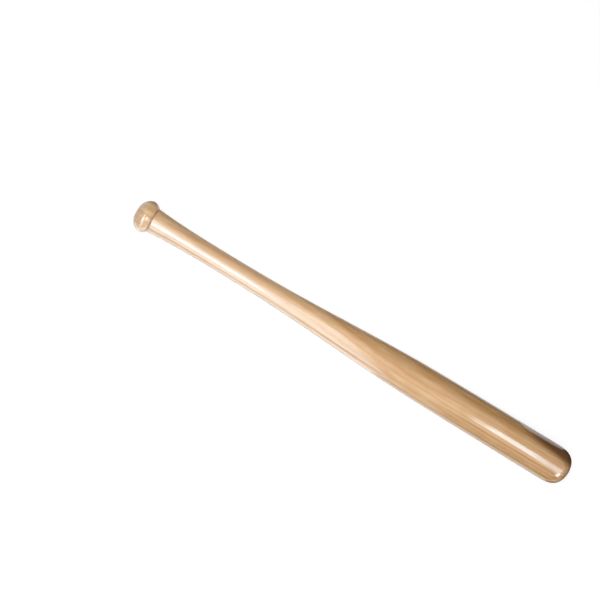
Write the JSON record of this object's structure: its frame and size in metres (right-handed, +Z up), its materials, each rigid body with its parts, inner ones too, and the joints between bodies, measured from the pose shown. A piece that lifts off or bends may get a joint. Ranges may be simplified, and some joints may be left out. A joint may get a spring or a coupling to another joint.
{
  "type": "baseball bat",
  "caption": "Short wooden baseball bat with a round-nosed barrel, a slim flared handle and a separate knob held on the handle by a hidden glued dowel.",
  "frame": {"origin": "middle of the bat's box, on the plane that its barrel lies on", "axes": "+X along the bat from the knob to the end of the barrel, +Z up, +Y across the bat"},
  "size_m": [0.61, 0.0466, 0.0467],
  "materials": {
    "lacquered_wood": "pale close-grained hardwood, turned and sanded, under a clear gloss lacquer",
    "bare_dowel_wood": "bare beech, as bought, with shallow glue flutes"
  },
  "bodies": {
    "root": {"bat_body": "lacquered_wood", "knob": "lacquered_wood", "knob_dowel": "bare_dowel_wood"}
  },
  "joints": []
}
